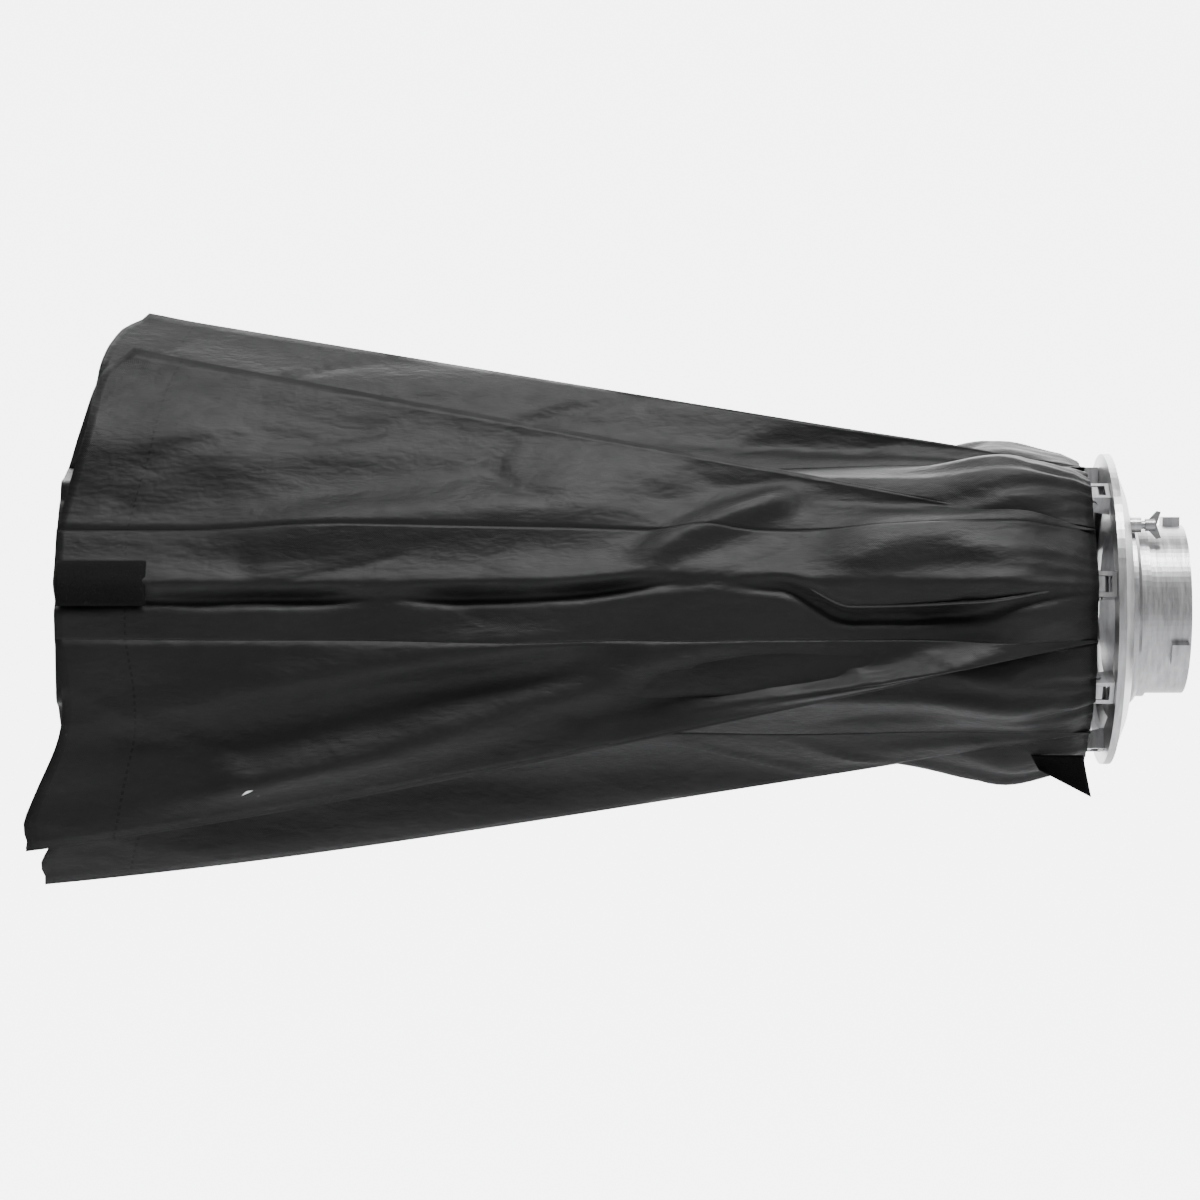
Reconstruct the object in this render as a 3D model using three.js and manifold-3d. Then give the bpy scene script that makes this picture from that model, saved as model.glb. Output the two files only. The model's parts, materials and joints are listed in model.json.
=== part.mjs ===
// A folded eight-rod octabox on its metal speedring, in millimetres.
// The origin is the centre of the bayonet tube's end face. +X points along the axis towards the
// lamp, so the whole object lies at negative X, and +Z is up.
// Angles round the axis are measured from -Y towards +Z, in degrees.
import * as THREE from 'three';
import { mergeVertices } from 'three/addons/utils/BufferGeometryUtils.js';
import Module from 'manifold-3d';

const wasm = await Module();
wasm.setup();

// Driving dimensions
const ROD_COUNT = 8;
const FIRST_ROD_ANGLE = 10;
const ROD_STEP = 360 / ROD_COUNT;
const OPEN_ANGLE = 33;
const GAP = 0.3;

const TUBE_RADIUS = 49;
const TUBE_BORE = 45;
const TUBE_LENGTH = 23;
const LUG_COUNT = 3;
const LUG_HEIGHT = 5;
const LUG_LENGTH = 10;
const LUG_SPREAD = 15;
const LUG_SETBACK = 1.5;
const COLLAR_RADIUS = 51;
const LIP_RADIUS = 63.5;
const LIP_FRONT = -38.8;
const TUBE_END = -42;

const DISH_BORE = COLLAR_RADIUS + 0.5;
const DISH_FACE = -34.5;
const RIM_RADIUS = 90.5;
const RIM_FRONT = -42;
const RIM_BACK = -47;

const SCREW_RADIUS = 2.4;
const SCREW_DISTANCE = 60.5;
const SCREW_ANGLE = 53.3;
const BOSS_RADIUS = 4.4;
const BOSS_TOP = -28;
const HUB_RADIUS = 3.6;
const WING_THICKNESS = 2.4;
const WING_ROOT = -24;
const WING_TIP = -16.5;
const WING_REACH = 8;

const PIVOT_X = -57;
const PIVOT_RADIUS = 78;
const PIN_RADIUS = 2;
const EYE_RADIUS = 5.6;
const FOOT_WIDTH = 9;
const FOOT_LENGTH = 30;
const EAR_THICKNESS = 2.5;
const EAR_RADIUS = 5;
const ROD_RADIUS = 3;
const ROD_START = 10;
const ROD_LENGTH = 550;

const FABRIC_RADIUS = 87;
const FABRIC_THICKNESS = 1.2;
const FABRIC_START = 6;
const HEM_STATION = 590;
const LAYER_LIFT = 1.8;
const LAYER_START = 10;
const LAYER_ROOT = 0.8;
const HEIGHT_AT_PIVOT = 0.45;
const HINGE_OFFSET = 0.75;

// How far each pleat leans from straight outwards, towards the next rod, in rod order.
const PLEAT_LEANS = [85, 50, 60, 30, -10, -60, -72, -85];

const radians = THREE.MathUtils.degToRad;
const halfStep = radians(ROD_STEP / 2);
const openAngle = radians(OPEN_ANGLE);

// The taper of half a gore, from the angle between two neighbouring rods when the box is open.
const cosBetweenRods = Math.cos(openAngle) ** 2 + Math.sin(openAngle) ** 2 * Math.cos(2 * halfStep);
const goreSlope = Math.tan(Math.acos(cosBetweenRods) / 2);
const stripWidth = FABRIC_RADIUS * Math.sin(halfStep);
const chordRadius = FABRIC_RADIUS * Math.cos(halfStep);

const brushedMetal = { color: 0xc9cacc, roughness: 0.35, metalness: 1 };
const darkMetal = { color: 0x6f7174, roughness: 0.4, metalness: 1 };
const blackNylon = { color: 0x3a3a3b, roughness: 0.75, metalness: 0 };
const blackSteel = { color: 0x1b1b1c, roughness: 0.5, metalness: 0.3 };

const octabox = new THREE.Group();

function addMesh(parent, name, geometry, look) {
  const mesh = new THREE.Mesh(geometry, new THREE.MeshStandardMaterial(look));
  mesh.name = name;
  parent.add(mesh);
  return mesh;
}

function toSolid(geometry) {
  const bare = geometry.clone();
  bare.deleteAttribute('normal');
  bare.deleteAttribute('uv');
  const merged = mergeVertices(bare, 1e-4);
  return new wasm.Manifold(new wasm.Mesh({
    numProp: 3,
    vertProperties: new Float32Array(merged.attributes.position.array),
    triVerts: new Uint32Array(merged.index.array),
  }));
}

function fromSolid(solid) {
  const data = solid.getMesh();
  const geometry = new THREE.BufferGeometry();
  geometry.setAttribute('position', new THREE.BufferAttribute(data.vertProperties, 3));
  geometry.setIndex(new THREE.BufferAttribute(data.triVerts, 1));
  return geometry;
}

function join(...geometries) {
  return fromSolid(geometries.map(toSolid).reduce((whole, piece) => whole.add(piece)));
}

function cut(geometry, ...tools) {
  return fromSolid(tools.map(toSolid).reduce((whole, tool) => whole.subtract(tool), toSolid(geometry)));
}

// A ring turned about the X axis. Each corner is [x, radius], from the lamp's end outwards and
// back through the bore, and the outline closes on itself.
function turnedRing(corners, segments = 96) {
  const outline = [...corners, corners[0]].map(([x, radius]) => new THREE.Vector2(radius, x)).reverse();
  return new THREE.LatheGeometry(outline, segments).rotateZ(-Math.PI / 2);
}

function cylinderAlongX(radius, fromX, toX, segments = 24) {
  const cylinder = new THREE.CylinderGeometry(radius, radius, Math.abs(toX - fromX), segments);
  return cylinder.rotateZ(Math.PI / 2).translate((fromX + toX) / 2, 0, 0);
}

function cylinderAlongY(radius, length, segments = 16) {
  return new THREE.CylinderGeometry(radius, radius, length, segments);
}

function extrude(shape, depth, curveSegments = 10) {
  return new THREE.ExtrudeGeometry(shape, { depth, bevelEnabled: false, curveSegments });
}

// A plate in the X-Z plane with its thickness along Y, centred at the given Y.
function uprightPlate(shape, thickness, y) {
  return extrude(shape, thickness).rotateX(Math.PI / 2).translate(0, y + thickness / 2, 0);
}

// A group whose +Z points outwards and whose +Y points towards the next rod.
function radialGroup(angle) {
  const group = new THREE.Group();
  group.rotation.x = radians(90 - angle);
  octabox.add(group);
  return group;
}

// The tube that enters the lamp, its three bayonet lugs, and the lip that turns inside the dish.
function bayonetTube() {
  const tube = turnedRing([
    [0, TUBE_BORE], [0, TUBE_RADIUS], [-TUBE_LENGTH, TUBE_RADIUS], [-TUBE_LENGTH, COLLAR_RADIUS],
    [LIP_FRONT, COLLAR_RADIUS], [LIP_FRONT, LIP_RADIUS], [TUBE_END, LIP_RADIUS], [TUBE_END, TUBE_BORE],
  ]);
  return join(tube, ...Array.from({ length: LUG_COUNT }, (_, index) => bayonetLug(90 + index * 120)));
}

function bayonetLug(angle) {
  const spread = radians(LUG_SPREAD / 2);
  const outline = new THREE.Shape();
  outline.absarc(0, 0, TUBE_RADIUS + LUG_HEIGHT, -spread, spread, false);
  outline.absarc(0, 0, TUBE_RADIUS - 1, spread, -spread, true);
  const lug = extrude(outline, LUG_LENGTH, 6).rotateY(-Math.PI / 2).translate(-LUG_SETBACK, 0, 0);
  return lug.rotateX(radians(90 - angle));
}

function screwPlace(geometry) {
  return geometry.translate(0, 0, SCREW_DISTANCE).rotateX(radians(90 - SCREW_ANGLE));
}

// The pressed dish with its flat rim, and the threaded boss for the wing screw.
function dish() {
  const pan = turnedRing([
    [DISH_FACE, DISH_BORE], [DISH_FACE, 57], [-36, 72], [RIM_FRONT, 87], [RIM_FRONT - 0.6, RIM_RADIUS],
    [RIM_BACK, RIM_RADIUS], [RIM_BACK, 70.5], [-44.5, 70.5],
    [LIP_FRONT + GAP, 65], [LIP_FRONT + GAP, DISH_BORE],
  ]);
  const boss = screwPlace(cylinderAlongX(BOSS_RADIUS, DISH_FACE - 2.5, BOSS_TOP));
  const hole = screwPlace(cylinderAlongX(SCREW_RADIUS + GAP, RIM_BACK, WING_ROOT));
  return cut(join(pan, boss), hole);
}

function retainingRing() {
  return turnedRing([
    [DISH_FACE + GAP, DISH_BORE], [-29, DISH_BORE], [-29, 53.5], [-31, 55.5], [DISH_FACE + GAP, 55.5],
  ]);
}

function wingScrew() {
  const waist = (WING_ROOT + 2 * WING_TIP) / 3;
  const wings = new THREE.Shape();
  wings.moveTo(WING_ROOT, -WING_REACH / 3);
  wings.lineTo(waist, -WING_REACH);
  wings.lineTo(WING_TIP, -WING_REACH + 0.5);
  wings.lineTo(waist, 0);
  wings.lineTo(WING_TIP, WING_REACH - 0.5);
  wings.lineTo(waist, WING_REACH);
  wings.lineTo(WING_ROOT, WING_REACH / 3);
  const plate = uprightPlate(wings, WING_THICKNESS, 0).rotateX(radians(SCREW_ANGLE - 90));
  const shank = cylinderAlongX(SCREW_RADIUS, LIP_FRONT + 2 * GAP, waist - 1);
  const hub = cylinderAlongX(HUB_RADIUS, WING_ROOT - 1.5, waist - 1);
  return screwPlace(join(shank, hub, plate));
}

// The two-eared bracket on the dish's rim, in which one rod folds.
function rodBracket() {
  const earOffset = FOOT_WIDTH / 2 + GAP + EAR_THICKNESS / 2;
  const front = RIM_BACK - GAP;
  const ear = new THREE.Shape();
  ear.moveTo(front, PIVOT_RADIUS - EAR_RADIUS - 2);
  ear.lineTo(PIVOT_X, PIVOT_RADIUS - EAR_RADIUS);
  ear.absarc(PIVOT_X, PIVOT_RADIUS, EAR_RADIUS, -Math.PI / 2, Math.PI / 2, true);
  ear.lineTo(front, PIVOT_RADIUS + EAR_RADIUS);
  const backPlate = new THREE.BoxGeometry(EAR_THICKNESS, 2 * earOffset, 2 * EAR_RADIUS + 2);
  backPlate.translate(front - EAR_THICKNESS / 2, 0, PIVOT_RADIUS - 1);
  const ears = [-1, 1].map((side) => uprightPlate(ear, EAR_THICKNESS, side * earOffset));
  return cut(join(backPlate, ...ears), pinHole());
}

function pinHole() {
  return cylinderAlongY(PIN_RADIUS + GAP, 30).translate(PIVOT_X, 0, PIVOT_RADIUS);
}

function hingePin() {
  return cylinderAlongY(PIN_RADIUS, FOOT_WIDTH + 2 * EAR_THICKNESS + 3).translate(PIVOT_X, 0, PIVOT_RADIUS);
}

// The metal end of a rod: an eye round the hinge pin and a socket that holds the rod.
function rodFoot() {
  const outline = new THREE.Shape();
  outline.absarc(0, 0, EYE_RADIUS, -1, 1, false);
  outline.lineTo(-FOOT_LENGTH, 4.6);
  outline.lineTo(-FOOT_LENGTH, -4.6);
  const body = uprightPlate(outline, FOOT_WIDTH, 0).translate(PIVOT_X, 0, PIVOT_RADIUS);
  const socket = cylinderAlongX(ROD_RADIUS + GAP, -FOOT_LENGTH - 5, -ROD_START + GAP);
  return cut(body, pinHole(), socket.translate(PIVOT_X, 0, PIVOT_RADIUS));
}

function rod() {
  return cylinderAlongX(ROD_RADIUS, -ROD_START, -ROD_LENGTH, 12).translate(PIVOT_X, 0, PIVOT_RADIUS);
}

// The fabric next to one rod: a roof-shaped strip that covers half the way to each neighbour.
function fabricStrip() {
  const reach = stripWidth * Math.cos(halfStep) - 0.5;
  const drop = reach * Math.tan(halfStep);
  const half = FABRIC_THICKNESS / 2;
  const section = new THREE.Shape();
  section.moveTo(-reach, -drop - half);
  section.lineTo(0, -half);
  section.lineTo(reach, -drop - half);
  section.lineTo(reach, -drop + half);
  section.lineTo(0, half);
  section.lineTo(-reach, -drop + half);
  const strip = extrude(section, HEM_STATION - FABRIC_START);
  // The section's first axis becomes Y and its second Z, and the length runs along -X.
  strip.rotateX(Math.PI / 2).rotateZ(-Math.PI / 2);
  strip.computeBoundingBox();
  const { max } = strip.boundingBox;
  return strip.translate(PIVOT_X - FABRIC_START - max.x, 0, FABRIC_RADIUS);
}

// One layer of a pleat: a flat triangle that widens from nothing at the ring to its full height at the hem.
function pleatLayer() {
  const heightAt = (station) => HEIGHT_AT_PIVOT + goreSlope * station;
  const hemCorner = (HEM_STATION - HEIGHT_AT_PIVOT * goreSlope) / (1 + goreSlope ** 2);
  const outline = new THREE.Shape();
  outline.moveTo(-LAYER_START, LAYER_ROOT);
  outline.lineTo(-HEM_STATION, LAYER_ROOT);
  outline.lineTo(-hemCorner, heightAt(hemCorner));
  outline.lineTo(-LAYER_START, heightAt(LAYER_START));
  return extrude(outline, FABRIC_THICKNESS).translate(PIVOT_X, 0, -FABRIC_THICKNESS / 2);
}

addMesh(octabox, 'bayonet_tube', bayonetTube(), brushedMetal);
addMesh(octabox, 'dish', dish(), brushedMetal);
addMesh(octabox, 'retaining_ring', retainingRing(), brushedMetal);
addMesh(octabox, 'wing_screw', wingScrew(), darkMetal);

for (let index = 0; index < ROD_COUNT; index += 1) {
  const number = index + 1;
  const next = (number % ROD_COUNT) + 1;
  const rodAngle = FIRST_ROD_ANGLE + index * ROD_STEP;
  const rodGroup = radialGroup(rodAngle);
  addMesh(rodGroup, `rod_bracket_${number}`, rodBracket(), brushedMetal);
  addMesh(rodGroup, `hinge_pin_${number}`, hingePin(), darkMetal);
  addMesh(rodGroup, `rod_foot_${number}`, rodFoot(), brushedMetal);
  addMesh(rodGroup, `rod_${number}`, rod(), blackSteel);
  addMesh(rodGroup, `fabric_strip_${number}`, fabricStrip(), blackNylon);

  // The pleat between this rod and the next has two layers. The one that leans over its own
  // strip lies underneath, and the other lies on top of it.
  const lean = PLEAT_LEANS[index];
  const pleatGroup = radialGroup(rodAngle + ROD_STEP / 2);
  for (const side of [-1, 1]) {
    const underneath = side * lean > 0;
    const layer = new THREE.Group();
    layer.position.set(0, side * HINGE_OFFSET, chordRadius + (underneath ? LAYER_LIFT : 2 * LAYER_LIFT));
    layer.rotation.x = radians(90 - lean);
    pleatGroup.add(layer);
    const name = side < 0 ? `pleat_${number}_rod_${number}` : `pleat_${number}_rod_${next}`;
    addMesh(layer, name, pleatLayer(), blackNylon);
  }
}

export default octabox;
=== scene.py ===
import json
import math

import bmesh
import bpy
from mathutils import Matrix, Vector, noise


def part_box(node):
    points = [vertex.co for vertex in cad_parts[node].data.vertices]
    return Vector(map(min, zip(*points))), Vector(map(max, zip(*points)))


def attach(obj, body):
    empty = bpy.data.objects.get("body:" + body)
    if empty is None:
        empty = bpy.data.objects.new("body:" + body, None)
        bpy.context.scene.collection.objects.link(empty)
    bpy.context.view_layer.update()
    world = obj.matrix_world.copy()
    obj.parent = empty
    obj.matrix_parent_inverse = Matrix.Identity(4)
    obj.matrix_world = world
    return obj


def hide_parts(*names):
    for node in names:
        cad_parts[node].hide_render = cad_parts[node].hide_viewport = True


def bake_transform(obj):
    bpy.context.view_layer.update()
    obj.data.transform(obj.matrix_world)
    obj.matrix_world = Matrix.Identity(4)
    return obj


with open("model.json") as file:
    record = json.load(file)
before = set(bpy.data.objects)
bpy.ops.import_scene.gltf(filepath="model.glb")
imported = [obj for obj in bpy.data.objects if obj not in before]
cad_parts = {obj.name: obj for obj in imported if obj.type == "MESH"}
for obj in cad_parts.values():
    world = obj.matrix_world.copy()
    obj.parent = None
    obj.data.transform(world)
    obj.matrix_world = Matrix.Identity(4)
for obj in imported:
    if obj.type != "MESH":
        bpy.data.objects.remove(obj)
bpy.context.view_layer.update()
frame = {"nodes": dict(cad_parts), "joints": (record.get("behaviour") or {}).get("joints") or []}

# The octabox is folded: its axis is X, the mouth is at -X and the lamp end at the origin.
# Fabric is laid out in metres: "station" runs from the rod pivots to the hem.

FLOOR_HEIGHT = -2.1
STUDIO_REACH = 16
BACKDROP_DISTANCE = 8

joints = {joint["name"]: joint for joint in frame["joints"]}

ROD_COUNT = 8
STEP = 2 * math.pi / ROD_COUNT
AXIS = Vector((1, 0, 0))
OPEN_ANGLE = math.radians(joints["rod_1_fold"]["range_deg"][1])
PIVOT_X = joints["rod_1_fold"]["pos_m"][0]

HEM_STATION = PIVOT_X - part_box("fabric_strip_1")[0][0]
RIDGE_RADIUS = 0.087
RIDGE_ROUNDING = 0.005
STRIP_HALF_WIDTH = RIDGE_RADIUS * math.sin(STEP / 2) * math.cos(STEP / 2)
RING_STATION = 0.001
CLOTH_HALF = 0.0004
LENGTH_COLUMNS = 116
STRIP_ROWS = 40
PLEAT_ROWS = 22
RING_COLUMNS = LENGTH_COLUMNS // 16
STITCH_FROM_HEM = 0.040
BINDING = 0.005

# The dark cloth is turned in this far along the free edge and the root of each panel.
FOLD_ALLOWANCE = 0.009
ROOT_ALLOWANCE = 0.013

LOW_FRONT_PLEATS = (7, 8)
LOW_HEM_SAG = 0.057
PLEAT_BULGE = 0.008
PLEAT_SWAY = 0.004
PLEAT_CLOSING = 0.0009
HEM_WAVE = 0.003
CORNER_ROUNDING = 0.010
CORNER_DROP = 0.0012
SHOULDER_RISE = 0.011
SHOULDER_STATION = 0.05
SHOULDER_LENGTH = 0.035
NEAR_SEAM_DEPTH = 0.011
SEAM_DEPTH = 0.003
SEAM_BELOW = 0.005
SEAM_WIDTH = 0.0042
PATCH_WIDTH = 0.026
PATCH_LENGTH = 0.051
PATCH_THICKNESS = 0.0012
STRAP_THICKNESS = 0.0016
PIPING_RADIUS = 0.001
PIPING_LENGTH = 0.235
PIPING_STEPS = 60

# The seam beside each rod turns at these stations, each with how far it lies above the rod.
SEAM_TURNS = (
    (0, -0.002),
    (0.07, -0.012),
    (0.14, -0.013),
    (0.18, 0.003),
    (0.235, 0.005),
    (0.33, -0.002),
    (0.59, -0.004),
)

# Each long fold runs between two places, given as station and height above the near rod.
# Then come its half width and how far it stands up.
NEAR_FOLDS = (
    ((0.020, 0.041), (0.154, 0.015), 0.015, 0.012),
    ((0.171, 0.054), (0.259, 0.015), 0.008, 0.008),
    ((0.259, 0.054), (0.486, 0.028), 0.018, 0.008),
    ((0.025, -0.024), (0.270, -0.108), 0.010, 0.011),
    ((0.013, -0.043), (0.224, -0.069), 0.008, 0.009),
    ((0.224, -0.037), (0.545, -0.134), 0.014, 0.011),
    ((0.282, -0.024), (0.545, -0.069), 0.012, 0.008),
)

# Half the angle between neighbouring rods when open gives the taper of each half gore.
cos_between = math.cos(OPEN_ANGLE) ** 2 + math.sin(OPEN_ANGLE) ** 2 * math.cos(STEP)
SLOPE = math.tan(math.acos(cos_between) / 2)
HEIGHT_AT_RING = 0.0009
OPEN_LEAN = math.pi / 2 - STEP / 2 + math.atan(math.tan(STEP / 2) * math.cos(OPEN_ANGLE))


def outward(angle):
    return Vector((0, -math.cos(angle), math.sin(angle)))


def around(angle):
    return Vector((0, math.sin(angle), math.cos(angle)))


def smooth(low, high, value):
    t = min(max((value - low) / (high - low), 0), 1)
    return t * t * (3 - 2 * t)


def bell(value, centre, width):
    return math.exp(-(((value - centre) / width) ** 2))


def rod_angle(number):
    pivot = joints[f"rod_{number}_fold"]["pos_m"]
    return math.atan2(pivot[2], -pivot[1])


def hinge_point(pleat, rod):
    return Vector(joints[f"pleat_{pleat}_rod_{rod}_spread"]["pos_m"])


def pleat_lean(pleat):
    turn = joints[f"pleat_{pleat}_rod_{pleat}_spread"]["range_deg"][1]
    return OPEN_LEAN - math.radians(turn)


# ---------------------------------------------------------------- materials

class Nodes:
    """A short way to build one material's node tree."""

    def __init__(self, name):
        self.material = bpy.data.materials.new(name)
        self.material.use_nodes = True
        self.tree = self.material.node_tree
        self.shader = self.tree.nodes["Principled BSDF"]

    def add(self, kind, inputs=None, **settings):
        node = self.tree.nodes.new(kind)
        for key, value in settings.items():
            setattr(node, key, value)
        for key, value in (inputs or {}).items():
            if isinstance(value, bpy.types.NodeSocket):
                self.tree.links.new(value, node.inputs[key])
            else:
                node.inputs[key].default_value = value
        return node

    def math(self, operation, first, second=0.0, third=0.0):
        values = {0: first, 1: second, 2: third}
        return self.add("ShaderNodeMath", values, operation=operation).outputs[0]

    def noise(self, where, scale, detail=4.0, roughness=0.5, stretch=(1, 1, 1)):
        mapped = self.add("ShaderNodeMapping", {"Vector": where, "Scale": stretch}).outputs[0]
        values = {"Vector": mapped, "Scale": scale, "Detail": detail, "Roughness": roughness}
        return self.add("ShaderNodeTexNoise", values).outputs["Fac"]

    def ramp(self, factor, *stops):
        node = self.add("ShaderNodeValToRGB", {"Fac": factor})
        elements = node.color_ramp.elements
        while len(elements) < len(stops):
            elements.new(0.5)
        for element, (place, colour) in zip(elements, stops):
            element.position = place
            element.color = (*colour, 1)
        return node.outputs["Color"]

    def mix(self, factor, first, second):
        values = {"Factor": factor, "A": first, "B": second}
        node = self.add("ShaderNodeMix", data_type="RGBA")
        sockets = {"Factor": node.inputs[0], "A": node.inputs[6], "B": node.inputs[7]}
        for key, value in values.items():
            if isinstance(value, bpy.types.NodeSocket):
                self.tree.links.new(value, sockets[key])
            else:
                sockets[key].default_value = value
        return node.outputs[2]

    def bump(self, height, distance, strength=1.0, below=None):
        values = {"Height": height, "Distance": distance, "Strength": strength}
        if below is not None:
            values["Normal"] = below
        return self.add("ShaderNodeBump", values).outputs[0]

    def set(self, **values):
        for key, value in values.items():
            socket = self.shader.inputs[key.replace("_", " ")]
            if isinstance(value, bpy.types.NodeSocket):
                self.tree.links.new(value, socket)
            else:
                socket.default_value = value
        return self.material


def grey(value):
    return (value, value, value * 1.02)


def nylon_material():
    n = Nodes("black_nylon_woven")
    place = n.add("ShaderNodeTexCoord").outputs["Object"]
    cut = n.add("ShaderNodeUVMap", uv_map="cut").outputs[0]
    hem = n.add("ShaderNodeUVMap", uv_map="hem").outputs[0]
    across, along = n.add("ShaderNodeSeparateXYZ", {0: cut}).outputs[:2]
    from_hem, beside = n.add("ShaderNodeSeparateXYZ", {0: hem}).outputs[:2]

    thread = 2 * math.pi / 0.0011
    warp = n.math("SINE", n.math("MULTIPLY", across, thread))
    weft = n.math("SINE", n.math("MULTIPLY", along, thread))
    weave = n.math("MULTIPLY", warp, weft)
    crumple = n.noise(place, 26, 6.0, 0.62, (0.45, 1, 1))
    fine = n.noise(place, 120, 4.0, 0.6, (0.6, 1, 1))

    line = n.math("COMPARE", from_hem, STITCH_FROM_HEM, 0.0007)
    dash = n.math("GREATER_THAN", n.math("SINE", n.math("MULTIPLY", beside, 2 * math.pi / 0.004)), -0.35)
    stitch = n.math("MULTIPLY", line, dash)
    binding = n.math("LESS_THAN", from_hem, BINDING)

    tone = n.ramp(crumple, (0.25, grey(0.004)), (0.75, grey(0.009)))
    tone = n.mix(n.math("MULTIPLY", binding, 0.7), tone, (*grey(0.004), 1))
    tone = n.mix(stitch, tone, (*grey(0.002), 1))
    rough = n.math("MULTIPLY_ADD", fine, 0.2, 0.4)

    normal = n.bump(crumple, 0.005, 0.55)
    normal = n.bump(fine, 0.0012, 0.5, normal)
    normal = n.bump(weave, 0.00012, 0.35, normal)
    normal = n.bump(stitch, 0.0006, 0.8, normal)
    return n.set(
        Base_Color=tone, Roughness=rough, Normal=normal,
        Sheen_Weight=0.03, Sheen_Roughness=0.4, Specular_IOR_Level=0.22,
    )


def silver_material():
    n = Nodes("silver_lining")
    place = n.add("ShaderNodeTexCoord").outputs["Object"]
    crinkle = n.noise(place, 70, 5.0, 0.6)
    tone = n.ramp(crinkle, (0.2, grey(0.5)), (0.8, grey(0.78)))
    rough = n.math("MULTIPLY_ADD", crinkle, 0.2, 0.28)
    return n.set(Base_Color=tone, Roughness=rough, Metallic=0.85, Normal=n.bump(crinkle, 0.0015, 0.6))


def loop_tape_material():
    n = Nodes("black_loop_tape")
    place = n.add("ShaderNodeTexCoord").outputs["Object"]
    fuzz = n.noise(place, 900, 3.0, 0.7)
    rib = n.noise(place, 200, 2.0, 0.5, (0.2, 1, 1))
    tone = n.ramp(fuzz, (0.3, grey(0.002)), (0.8, grey(0.007)))
    rough = n.math("MULTIPLY_ADD", fuzz, 0.15, 0.78)
    normal = n.bump(fuzz, 0.0005, 0.6, n.bump(rib, 0.0004, 0.4))
    return n.set(Base_Color=tone, Roughness=rough, Normal=normal, Specular_IOR_Level=0.12)


def piping_material():
    n = Nodes("black_piping")
    place = n.add("ShaderNodeTexCoord").outputs["Object"]
    ribs = n.noise(place, 500, 2.0, 0.5, (1, 0.2, 0.2))
    tone = n.ramp(ribs, (0.3, grey(0.008)), (0.8, grey(0.02)))
    rough = n.math("MULTIPLY_ADD", ribs, 0.2, 0.32)
    return n.set(Base_Color=tone, Roughness=rough, Normal=n.bump(ribs, 0.0004, 0.5), Specular_IOR_Level=0.5)


def turned_metal_material(name, light, dark, roughness, stretch):
    n = Nodes(name)
    place = n.add("ShaderNodeTexCoord").outputs["Object"]
    brushed = n.noise(place, 130, 5.0, 0.6, stretch)
    smudge = n.noise(place, 22, 3.0, 0.5)
    tone = n.ramp(n.math("MULTIPLY_ADD", brushed, 0.6, n.math("MULTIPLY", smudge, 0.4)),
                  (0.3, grey(dark)), (0.7, grey(light)))
    rough = n.math("MULTIPLY_ADD", brushed, 0.16, n.math("MULTIPLY_ADD", smudge, 0.08, roughness))
    return n.set(Base_Color=tone, Roughness=rough, Metallic=1.0, Normal=n.bump(brushed, 0.00025, 0.4))


def rod_material():
    n = Nodes("rod_black_satin")
    place = n.add("ShaderNodeTexCoord").outputs["Object"]
    wear = n.noise(place, 90, 5.0, 0.65, (0.15, 1, 1))
    tone = n.ramp(wear, (0.35, grey(0.02)), (0.85, grey(0.06)))
    return n.set(Base_Color=tone, Roughness=n.math("MULTIPLY_ADD", wear, 0.25, 0.3), Metallic=0.4,
                 Normal=n.bump(wear, 0.0002, 0.4))


def floor_material():
    n = Nodes("pale_floor")
    place = n.add("ShaderNodeTexCoord").outputs["Object"]
    mottle = n.noise(place, 4, 3.0, 0.5)
    tone = n.ramp(mottle, (0.2, grey(0.88)), (0.8, grey(0.92)))
    return n.set(Base_Color=tone, Roughness=0.9)


def backdrop_material():
    n = Nodes("white_backdrop")
    return n.set(Base_Color=(0.9, 0.9, 0.9, 1), Emission_Color=(1, 1, 1, 1), Emission_Strength=5.0)


nylon = nylon_material()
silver = silver_material()
loop_tape = loop_tape_material()
piping = piping_material()
bright_metal = turned_metal_material("bright_metal_turned", 0.5, 0.24, 0.24, (3, 0.5, 0.5))
screw_metal = turned_metal_material("screw_metal_satin", 0.4, 0.2, 0.25, (0.4, 2, 2))
rod_black = rod_material()


# ---------------------------------------------------------------- fabric shells

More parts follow.
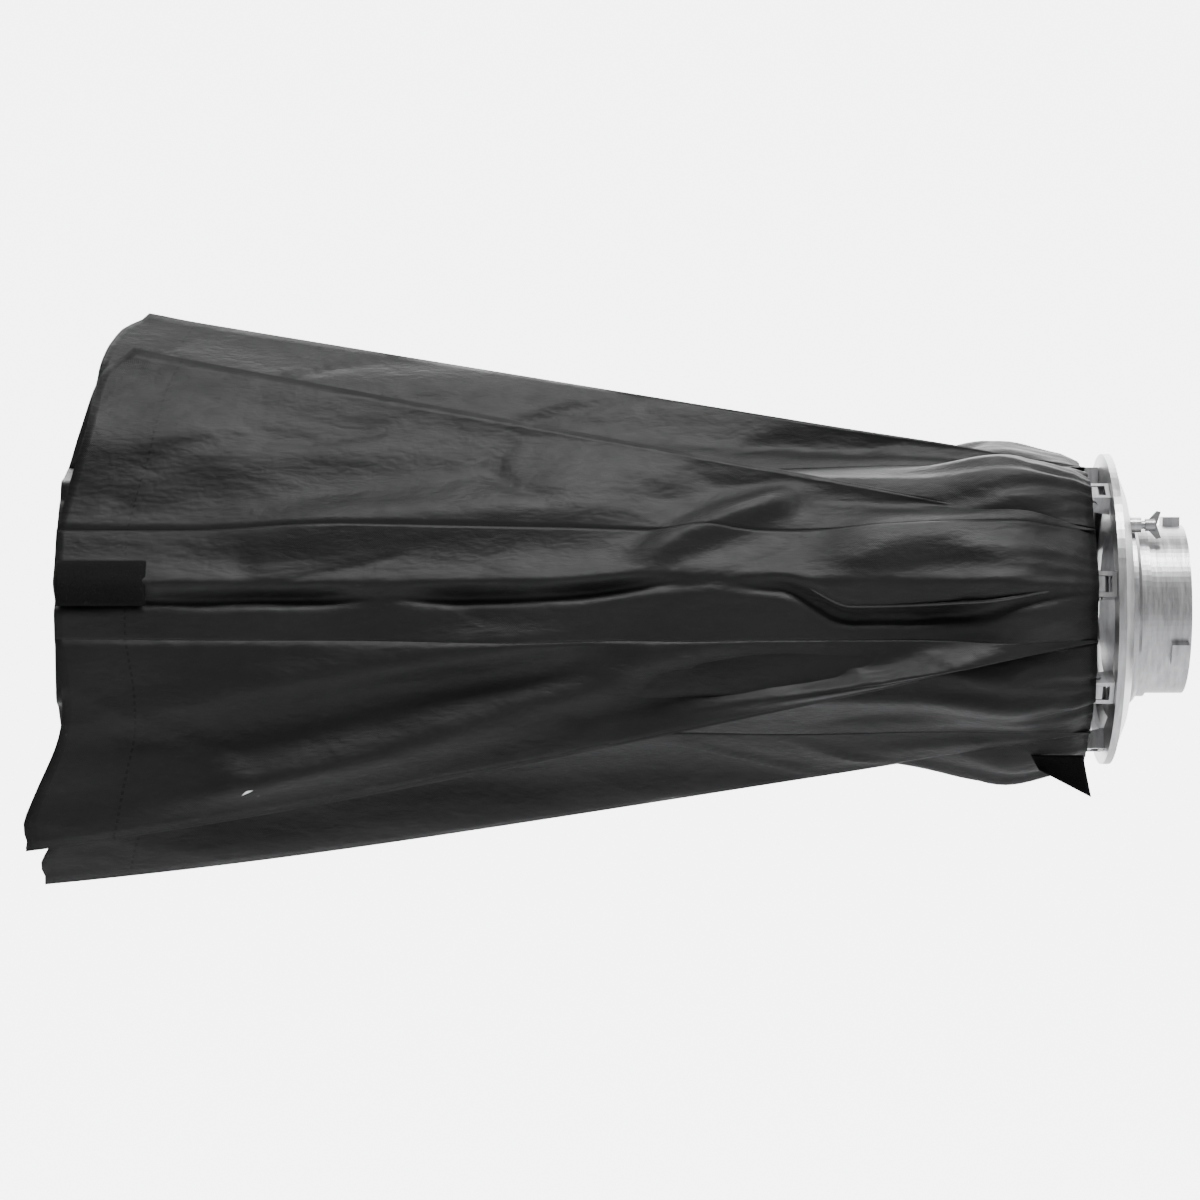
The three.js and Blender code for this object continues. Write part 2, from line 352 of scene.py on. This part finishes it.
def cloth_shell(name, rows, columns, point, side, cut, hem):
    """A thin closed sheet. point(u, v) is its middle surface, side(u, v) the way its dark face looks."""
    count = (rows + 1) * (columns + 1)
    middle = [[point(i / rows, j / columns) for j in range(columns + 1)] for i in range(rows + 1)]
    faces_out = [[side(i / rows, j / columns) for j in range(columns + 1)] for i in range(rows + 1)]
    grid = [(i, j) for i in range(rows + 1) for j in range(columns + 1)]
    vertices = [middle[i][j] + faces_out[i][j] * CLOTH_HALF for i, j in grid]
    vertices += [middle[i][j] - faces_out[i][j] * CLOTH_HALF for i, j in grid]

    def at(i, j, layer=0):
        return layer * count + i * (columns + 1) + j

    faces = []
    for i in range(rows):
        for j in range(columns):
            faces.append((at(i, j), at(i, j + 1), at(i + 1, j + 1), at(i + 1, j)))
            faces.append((at(i, j, 1), at(i + 1, j, 1), at(i + 1, j + 1, 1), at(i, j + 1, 1)))
    lined = len(faces)
    for i in range(rows):
        faces.append((at(i, 0), at(i + 1, 0), at(i + 1, 0, 1), at(i, 0, 1)))
        faces.append((at(i + 1, columns), at(i, columns), at(i, columns, 1), at(i + 1, columns, 1)))
    for j in range(columns):
        faces.append((at(0, j + 1), at(0, j), at(0, j, 1), at(0, j + 1, 1)))
        faces.append((at(rows, j), at(rows, j + 1), at(rows, j + 1, 1), at(rows, j, 1)))

    mesh = bpy.data.meshes.new(name)
    mesh.from_pydata(vertices, [], faces)
    for material in (nylon, silver):
        mesh.materials.append(material)
    hem_columns = math.ceil(columns * STITCH_FROM_HEM / HEM_STATION)
    for index, polygon in enumerate(mesh.polygons):
        polygon.use_smooth = index < lined
        row, column = divmod(index // 2, columns)
        along = column / columns
        to_fold = cut(1, along)[0] - cut((row + 1) / rows, along)[0]
        from_root = cut(row / rows, along)[0] - cut(0, along)[0]
        at_the_sides = from_root < ROOT_ALLOWANCE or to_fold < FOLD_ALLOWANCE
        turned_over = at_the_sides or column < RING_COLUMNS or column >= columns - hem_columns
        polygon.material_index = 1 if index < lined and index % 2 and not turned_over else 0
    for map_name, place in (("cut", cut), ("hem", hem)):
        layer = mesh.uv_layers.new(name=map_name)
        places = [place(i / rows, j / columns) for i, j in grid] * 2
        for loop in mesh.loops:
            layer.data[loop.index].uv = places[loop.vertex_index]
    return show(mesh)


def show(mesh):
    made = bpy.data.objects.new(mesh.name, mesh)
    bpy.context.scene.collection.objects.link(made)
    return made


def face_outwards(piece):
    """Turns every face of a closed piece to point out."""
    work = bmesh.new()
    work.from_mesh(piece.data)
    bmesh.ops.recalc_face_normals(work, faces=work.faces)
    work.to_mesh(piece.data)
    work.free()


def crumple(across, station, seed):
    """How far cloth stands off its flat shape: long soft folds, with sharper creases over them."""
    soft = noise.noise(Vector((across * 30, station * 5, seed * 7.3)))
    small = noise.noise(Vector((across * 60, station * 22, seed * 3.1 + 40)))
    slanting = noise.noise(Vector((station * 9 + across * 16, across * 10 - station * 3, seed * 5.7)))
    crease = max(0, 1 - abs(slanting) * 7) ** 2
    broad = noise.noise(Vector((across * 11, station * 2.6, seed * 2.9 + 9)))
    return 0.010 * broad + 0.0048 * soft + 0.0014 * small - 0.0026 * crease


def ring_gathers(across, station, seed):
    """Short radiating folds where the cloth is drawn in at the ring."""
    fade = 1 - smooth(0.02, 0.2, station)
    return 0.008 * fade * noise.noise(Vector((across / (station + 0.05) * 9, station * 7, seed)))


def root_wave(pleat, station):
    """How far both roots of a pleat ride up, so that no straight crease shows along them."""
    fade = smooth(0.02, 0.08, station)
    return 0.0028 * fade * noise.noise(Vector((station * 8, pleat * 3.7, 11)))


def near_folds(across, station):
    """The long folds that show on the cloth beside the nearest rod."""
    lift = 0
    here = Vector((station, across))
    for start, end, width, height in NEAR_FOLDS:
        start, end = Vector(start), Vector(end)
        run = end - start
        along = (here - start).dot(run) / run.length_squared
        aside = abs((here - start).cross(run)) / run.length
        lift += height * bell(aside, 0, width) * smooth(-0.15, 0.2, along) * (1 - smooth(0.75, 1.15, along))
    return lift


def hem_station(height):
    return HEM_STATION - SLOPE * height


def pleat_layer(pleat, rod):
    """One of the two cloth layers of a pleat, from its rod's strip to the fold at its free edge."""
    lean = pleat_lean(pleat)
    middle = rod_angle(pleat) + STEP / 2
    up = outward(middle)
    tangent = around(middle)
    reach = tangent * math.sin(lean) + up * math.cos(lean)
    facing = up * math.sin(lean) - tangent * math.cos(lean)
    first = rod == pleat
    dark_side = facing if first else -facing
    root = hinge_point(pleat, rod)
    towards_partner = -1 if first else 1
    beside_near_rod = {1: 1, ROD_COUNT: -1}.get(pleat, 0)
    shift = (root - hinge_point(pleat, 1)).dot(reach) if beside_near_rod else 0
    sag_at_hem = LOW_HEM_SAG if pleat in LOW_FRONT_PLEATS else 0

    def layout(u, v):
        end = (HEM_STATION - SLOPE * u * HEIGHT_AT_RING) / (1 + u * SLOPE**2)
        station = RING_STATION + v * (end - RING_STATION)
        return u * (HEIGHT_AT_RING + SLOPE * station), station

    def stand_off(u, v):
        height, station = layout(u, v)
        held = math.sin(math.pi * u) ** 0.7 if 0 < u < 1 else 0
        room = min(1, height / 0.02) * held
        bulge = PLEAT_BULGE * math.sin(math.pi * u) ** 2 * smooth(0.1, 0.9, v)
        folds = crumple(height, station, pleat) + ring_gathers(height, station, pleat)
        closing = towards_partner * PLEAT_CLOSING * u**4
        swing = math.sin(4.3 * v + 1.7 * pleat) - v * math.sin(4.3 + 1.7 * pleat)
        sway = PLEAT_SWAY * math.sin(math.pi * u) ** 2 * swing * smooth(0.15, 0.6, v)
        return room * folds + bulge + closing + sway

    def near_fold_lift(u, height, station):
        if not beside_near_rod:
            return 0
        across = beside_near_rod * (STRIP_HALF_WIDTH + height + shift)
        at_root = 1 if rod == 1 else smooth(0, 0.03, height)
        return near_folds(across, station) * at_root * (1 - smooth(0.75, 1, u))

    def point(u, v):
        height, station = layout(u, v)
        station += sag_at_hem * u * u * v**7 + HEM_WAVE * u * v**6 * math.sin(9 * u + pleat)
        rounded = smooth(0.8, 1, u) ** 2 * smooth(0.9, 1, v) ** 2
        station -= CORNER_ROUNDING * rounded
        height -= CORNER_DROP * rounded
        wave = up * root_wave(pleat, station) * (1 - smooth(0, 0.04, height))
        wave += up * near_fold_lift(u, height, station)
        return root - AXIS * station + reach * height + facing * stand_off(u, v) + wave

    def normal(u, v):
        return dark_side

    def cut(u, v):
        return layout(u, v)

    def hem(u, v):
        height, station = layout(u, v)
        return (hem_station(height) - station, height + 0.0333)

    piece = cloth_shell(f"cloth_pleat_{pleat}_rod_{rod}", PLEAT_ROWS, LENGTH_COLUMNS, point, normal, cut, hem)
    face_outwards(piece)
    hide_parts(f"pleat_{pleat}_rod_{rod}")
    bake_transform(piece)
    return piece


def ridge_drop(across):
    """How far the cloth has fallen below the rod's ridge, this far beside it."""
    rounded = math.sqrt(across**2 + RIDGE_ROUNDING**2) - RIDGE_ROUNDING
    return rounded * math.tan(STEP / 2)


def shoulder_rise(station):
    """The cloth stands up where it passes over the rod's foot."""
    return SHOULDER_RISE * bell(station, SHOULDER_STATION, SHOULDER_LENGTH)


def seam_line(station):
    """Where the seam beside a rod runs: it wanders below the rod near the ring, then above it."""
    for (start, before), (end, after) in zip(SEAM_TURNS, SEAM_TURNS[1:]):
        if station <= end:
            return before + (after - before) * smooth(start, end, station)
    return SEAM_TURNS[-1][1]


def cloth_strip(number):
    """The cloth that lies over one rod, up to the roots of the pleats on both sides."""
    angle = rod_angle(number)
    up = outward(angle)
    tangent = around(angle)
    before = (number - 2) % ROD_COUNT + 1
    roots = {1: hinge_point(number, number), -1: hinge_point(before, number)}
    half_width = STRIP_HALF_WIDTH
    seam_depth = NEAR_SEAM_DEPTH if number == 1 else SEAM_DEPTH

    def height_over_axis(across):
        return RIDGE_RADIUS - ridge_drop(across)

    def layout(u, v):
        return (2 * u - 1) * half_width, RING_STATION + v * (HEM_STATION - RING_STATION)

    def to_root(u):
        side = 1 if u > 0.5 else -1
        target = roots[side]
        across = side * half_width
        miss = target.dot(tangent) - across, target.dot(up) - height_over_axis(across)
        share = smooth(0.35, 1, abs(2 * u - 1))
        return (tangent * miss[0] + up * miss[1]) * share

    def wave_at_root(u, station):
        pleat = number if u > 0.5 else before
        direction = outward(rod_angle(pleat) + STEP / 2)
        share = smooth(0.3, 1, abs(2 * u - 1))
        wave = direction * root_wave(pleat, station) * share
        if number == 1:
            across = (2 * u - 1) * half_width
            wave += up.lerp(direction, share) * near_folds(across, station)
        return wave

    def point(u, v):
        across, station = layout(u, v)
        free = 1 - smooth(0.3, 1, abs(2 * u - 1))
        free *= 1 - 0.9 * smooth(HEM_STATION - 0.1, HEM_STATION - 0.06, station)
        folds = crumple(across, station, number + 20) + ring_gathers(across, station, number)
        folds *= free * 0.6
        run = smooth(0.02, 0.08, station)
        ragged = 0.6 + 0.8 * noise.noise(Vector((station * 16, number, 3)))
        seam = -seam_depth * run * ragged * bell(across, seam_line(station) - SEAM_BELOW, SEAM_WIDTH)
        pocket = 0.0015 * bell(across, 0, 0.005)
        tuck_in = -0.003 * (1 - smooth(0, 0.012, station))
        shoulder = shoulder_rise(station) * (1 - smooth(0.5, 1, abs(2 * u - 1)))
        lift = folds + seam + pocket + tuck_in + shoulder
        start = Vector((PIVOT_X - station, 0, 0))
        flat = start + tangent * across + up * (height_over_axis(across) + lift)
        return flat + to_root(u) + wave_at_root(u, station)

    def normal(u, v):
        across = layout(u, v)[0]
        tilt = across / math.sqrt(across**2 + RIDGE_ROUNDING**2) * math.tan(STEP / 2)
        return (up + tangent * tilt).normalized()

    def hem(u, v):
        across, station = layout(u, v)
        return (HEM_STATION - station, across)

    piece = cloth_shell(f"cloth_strip_{number}", STRIP_ROWS, LENGTH_COLUMNS, point, normal, layout, hem)
    face_outwards(piece)
    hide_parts(f"fabric_strip_{number}")
    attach(piece, f"rod_arm_{number}")
    return piece


# ---------------------------------------------------------------- trim on the fabric

def trim_piece(name, vertices, faces, body, material):
    """A closed black piece that rides on one body."""
    mesh = bpy.data.meshes.new(name)
    mesh.from_pydata(vertices, [], faces)
    mesh.materials.append(material)
    for polygon in mesh.polygons:
        polygon.use_smooth = True
    piece = show(mesh)
    face_outwards(piece)
    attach(piece, body)
    return piece


def tape_patch(name, body, place, rows, columns, thickness, material):
    """A patch of tape: place(u, v) gives a point and the direction it faces."""
    vertices = []
    for layer in (1, 0):
        for i in range(rows + 1):
            for j in range(columns + 1):
                u, v = i / rows, j / columns
                point, facing = place(u, v)
                edge = min(smooth(0, 0.06, inset) for inset in (u, 1 - u, v, 1 - v))
                vertices.append(point + facing * layer * thickness * (0.4 + 0.6 * edge))
    wide = columns + 1
    count = (rows + 1) * wide
    faces = []
    for i in range(rows):
        for j in range(columns):
            corner = i * wide + j
            ring = (corner, corner + 1, corner + wide + 1, corner + wide)
            faces.append(ring)
            faces.append(tuple(count + index for index in reversed(ring)))
    rim = list(range(wide))
    rim += [i * wide + columns for i in range(1, rows + 1)]
    rim += [rows * wide + j for j in reversed(range(columns))]
    rim += [i * wide for i in reversed(range(1, rows))]
    for index, corner in enumerate(rim):
        following = rim[(index + 1) % len(rim)]
        faces.append((corner, following, following + count, corner + count))
    return trim_piece(name, vertices, faces, body, material)


def rod_tip_patch(number):
    """Hook-and-loop tape folded over the end of the rod's pocket."""
    angle = rod_angle(number)
    up = outward(angle)
    tangent = around(angle)

    def place(u, v):
        across = (u - 0.5) * PATCH_WIDTH
        station = HEM_STATION - 0.052 + v * PATCH_LENGTH
        sag = 0.0006 * noise.noise(Vector((across * 90, station * 60, number)))
        rise = RIDGE_RADIUS + PATCH_THICKNESS - ridge_drop(across) + sag
        point = Vector((PIVOT_X - station, 0, 0)) + tangent * across + up * rise
        return point, (up + tangent * across * 8).normalized()

    tape_patch(f"tip_patch_{number}", f"rod_arm_{number}", place, 12, 24, PATCH_THICKNESS, loop_tape)


def covered_by_pleat(number):
    """A pleat that lies almost flat hides the rod tip beneath it."""
    flat = math.radians(80)
    before = (number - 2) % ROD_COUNT + 1
    return pleat_lean(number) < -flat or pleat_lean(before) > flat


def tube_along(name, points, radius, body, material, sides=8):
    """A closed round cord through the given points, tapered shut at both ends."""
    vertices = []
    for index, point in enumerate(points):
        ahead = points[min(index + 1, len(points) - 1)]
        behind = points[max(index - 1, 0)]
        forward = (ahead - behind).normalized()
        first = forward.orthogonal().normalized()
        second = forward.cross(first)
        ended = index in (0, len(points) - 1)
        reach = radius * (0.3 if ended else 1)
        for side in range(sides):
            turn = 2 * math.pi * side / sides
            vertices.append(point + reach * (first * math.cos(turn) + second * math.sin(turn)))
    faces = [tuple(range(sides)), tuple(range(len(vertices) - sides, len(vertices)))]
    for ring in range(len(points) - 1):
        for side in range(sides):
            corner = ring * sides + side
            beside = ring * sides + (side + 1) % sides
            faces.append((corner, beside, beside + sides, corner + sides))
    return trim_piece(name, vertices, faces, body, material)


def seam_piping():
    """The piped edge beside the nearest rod, from the ring along the first two fifths of the seam."""
    up = outward(rod_angle(1))
    tangent = around(rod_angle(1))
    points = []
    for step in range(PIPING_STEPS + 1):
        station = 0.004 + PIPING_LENGTH * step / PIPING_STEPS
        across = seam_line(station)
        lift = shoulder_rise(station) + near_folds(across, station)
        rise = RIDGE_RADIUS + lift + PIPING_RADIUS - 0.3 * abs(across)
        points.append(Vector((PIVOT_X - station, 0, 0)) + tangent * across + up * rise)
    tube_along("seam_piping", points, PIPING_RADIUS, "rod_arm_1", piping)


def ring_strap():
    """The pointed hook-and-loop strap that hangs under the ring end, without its rivet."""
    root_z = -0.084
    tip_z = -0.108

    def place(u, v):
        x = PIVOT_X - 0.034 + v * 0.03
        hang = (tip_z - root_z) * u * (0.35 + 0.65 * v)
        lean = 0.006 * u * u
        return Vector((x + 0.004 * u, -0.035 - lean, root_z + hang)), Vector((0, -1, 0.1)).normalized()

    tape_patch("ring_strap", "rod_arm_7", place, 16, 16, STRAP_THICKNESS, loop_tape)


for number in range(1, ROD_COUNT + 1):
    cloth_strip(number)
for number in range(1, ROD_COUNT + 1):
    following = number % ROD_COUNT + 1
    pleat_layer(number, number)
    pleat_layer(number, following)
for number in range(1, ROD_COUNT + 1):
    if not covered_by_pleat(number):
        rod_tip_patch(number)
ring_strap()
seam_piping()


# ---------------------------------------------------------------- metal looks

def look_of(node):
    if node.startswith(("hinge_pin", "wing_screw")):
        return screw_metal
    if node.startswith(("rod_foot", "rod_bracket")):
        return bright_metal
    if node.startswith("rod_"):
        return rod_black
    return bright_metal


for node_name, node in frame["nodes"].items():
    if node_name.startswith(("fabric_strip", "pleat")):
        continue
    for slot in node.material_slots:
        slot.material = look_of(node_name)


# ---------------------------------------------------------------- studio

def soft_light(name, place, aim, size, power):
    data = bpy.data.lights.new(name, "AREA")
    data.shape = "SQUARE"
    data.size = size
    data.energy = power
    light = bpy.data.objects.new(name, data)
    light.location = place
    light.rotation_euler = (Vector(aim) - Vector(place)).to_track_quat("-Z", "Y").to_euler()
    bpy.context.scene.collection.objects.link(light)


def studio():
    world = bpy.data.worlds.new("studio_white")
    world.use_nodes = True
    background = world.node_tree.nodes["Background"]
    background.inputs["Color"].default_value = (1, 1, 1, 1)
    background.inputs["Strength"].default_value = 0.4
    bpy.context.scene.world = world
    middle = (-0.34, 0, 0)
    soft_light("key", (-0.1, -0.75, 2.0), middle, 0.5, 75)
    soft_light("fill", (0.9, -1.5, 0.4), middle, 0.7, 6)
    soft_light("back", (-0.2, 1.5, 1.2), middle, 1.2, 16)

    floor_mesh = bpy.data.meshes.new("floor")
    reach = STUDIO_REACH
    corners = [(-reach, -reach), (reach, -reach), (reach, reach), (-reach, reach)]
    floor_mesh.from_pydata([(x, y, FLOOR_HEIGHT) for x, y in corners], [], [(0, 1, 2, 3)])
    floor_mesh.materials.append(floor_material())
    show(floor_mesh)

    wall_mesh = bpy.data.meshes.new("backdrop")
    wall = [(-reach, FLOOR_HEIGHT), (reach, FLOOR_HEIGHT), (reach, reach), (-reach, reach)]
    wall_mesh.from_pydata([(x, BACKDROP_DISTANCE, z) for x, z in wall], [], [(0, 1, 2, 3)])
    wall_mesh.materials.append(backdrop_material())
    show(wall_mesh)


def camera():
    distance = 2.4
    seen_width = 0.7008
    data = bpy.data.cameras.new("camera")
    data.sensor_width = 36
    data.lens = data.sensor_width * distance / seen_width
    viewer = bpy.data.objects.new("camera", data)
    viewer.location = (-0.339, -distance, 0.0053)
    viewer.rotation_euler = (math.pi / 2, 0, 0)
    bpy.context.scene.collection.objects.link(viewer)
    bpy.context.scene.camera = viewer


studio()
camera()
bpy.context.view_layer.update()
